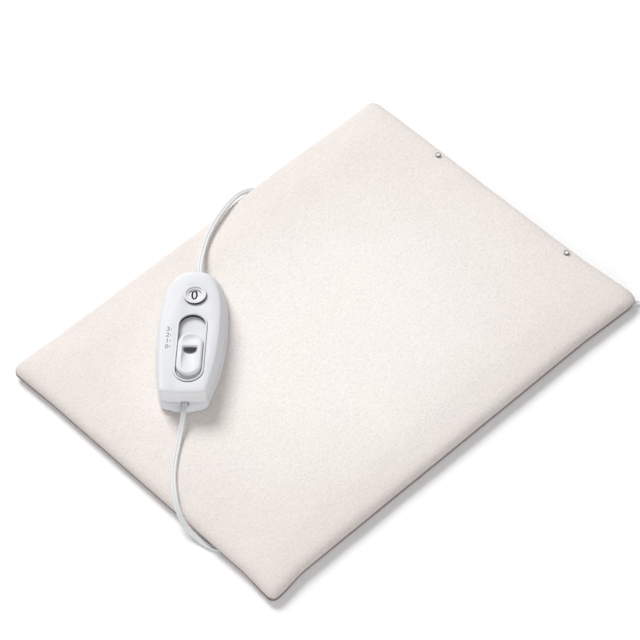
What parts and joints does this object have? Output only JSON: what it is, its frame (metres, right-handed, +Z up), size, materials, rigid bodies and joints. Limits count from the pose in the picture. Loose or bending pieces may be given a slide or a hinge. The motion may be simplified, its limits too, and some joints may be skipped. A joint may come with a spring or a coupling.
{
  "type": "heating pad with controller",
  "caption": "Flat rectangular heating pad in a snap-closed fleece cover, with an oval hand controller that has a thumb slider and a magnified level window, on a flat mains cord with plug.",
  "frame": {"origin": "middle of the pad's flat underside, on the floor plane", "axes": "+X along the pad's long side towards the edge with the two press studs, +Y across it towards the side where the short cord enters, +Z up out of the pad"},
  "size_m": [0.4449, 0.4757, 0.0421],
  "materials": {
    "fleece": "short raised fleece pile",
    "felt": "matte",
    "white_shell": "satin moulded",
    "knob": "satin moulded",
    "plug": "matte moulded",
    "cord": "satin vinyl",
    "dark_plastic": "matte",
    "strip": "matte",
    "steel": "brushed",
    "stud": "satin",
    "brass": "satin",
    "board": "matte",
    "magnifier": "polished",
    "lamp": "polished",
    "wire": "matte silicone",
    "ceramic": "matte"
  },
  "bodies": {
    "pad_and_controller": {"fleece_cover": "fleece", "felt_layer_lower": "felt", "felt_layer_upper": "felt", "heating_wire": "wire", "overheat_cutout_1": "ceramic", "overheat_cutout_2": "ceramic", "pad_cord_entry_block": "plug", "press_stud_cap_1": "stud", "press_stud_cap_2": "stud", "press_stud_socket_1": "stud", "press_stud_socket_2": "stud", "controller_upper_shell": "white_shell", "controller_lower_shell": "white_shell", "window_bezel": "white_shell", "window_magnifier": "magnifier", "circuit_board": "board", "thermal_fuse": "ceramic", "half_wave_diode": "dark_plastic", "lamp_resistor": "ceramic", "glow_lamp": "lamp", "detent_spring": "steel", "cord_clamp_1": "dark_plastic", "cord_clamp_2": "dark_plastic", "pad_cord": "cord", "mains_cord_run": "cord", "mains_cord_coil": "cord", "cord_tie": "dark_plastic", "plug_body": "plug", "plug_strain_relief": "plug", "plug_pin_1": "brass", "plug_pin_2": "brass", "fixed_contact_0": "brass", "housing_screw_1": "steel", "clamp_screw_1": "steel", "fixed_contact_1": "brass", "housing_screw_2": "steel", "clamp_screw_2": "steel", "fixed_contact_2": "brass", "housing_screw_3": "steel", "clamp_screw_3": "steel", "fixed_contact_3": "brass", "housing_screw_4": "steel", "clamp_screw_4": "steel"},
    "level_slider_body": {"slide_knob": "knob", "slide_carriage": "dark_plastic", "level_strip": "strip", "contact_bridge": "brass"}
  },
  "joints": [
    {"name": "level_slider", "type": "slide", "parent": "pad_and_controller", "child": "level_slider_body", "axis": [0.7254, 0.6884, 0], "range_m": [0, 0.018]}
  ]
}
